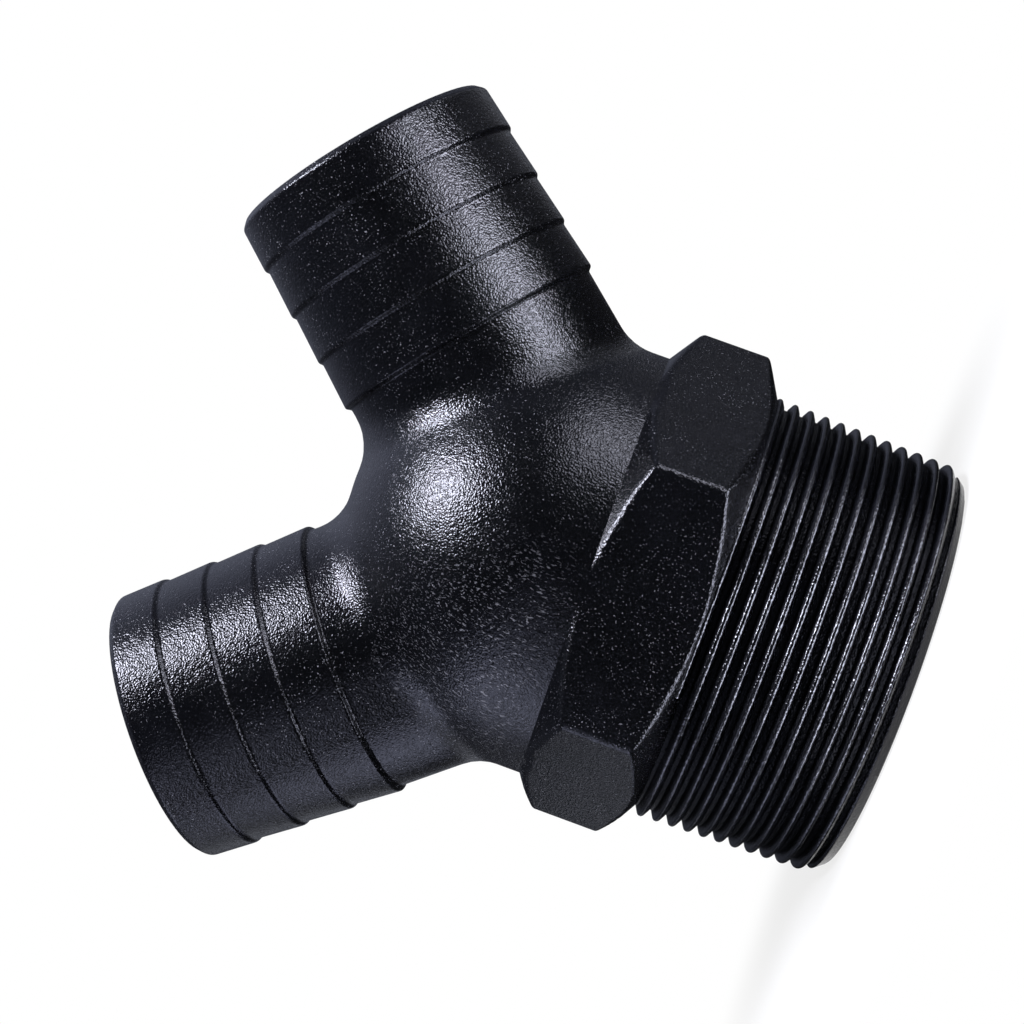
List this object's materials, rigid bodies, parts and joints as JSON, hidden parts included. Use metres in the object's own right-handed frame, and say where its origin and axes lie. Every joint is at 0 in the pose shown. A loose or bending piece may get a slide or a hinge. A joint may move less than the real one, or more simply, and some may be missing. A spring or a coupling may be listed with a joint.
{
  "type": "multi-port hose barb adapter",
  "caption": "Rigid black plastic wye fitting: a tapered male pipe thread below a hexagonal wrench collar, and a domed trunk that splits into angled barbed hose necks.",
  "frame": {"origin": "centre of the threaded port's end face, which the part stands on", "axes": "+Z along the threaded port's axis towards the hose necks; the necks spread to +X and -X of it; two flats of the collar face +Y and -Y"},
  "size_m": [0.112, 0.0604, 0.1031],
  "materials": {
    "black_plastic": "moulded, satin, fine grain"
  },
  "bodies": {
    "root": {"wye_body": "black_plastic"}
  },
  "joints": []
}
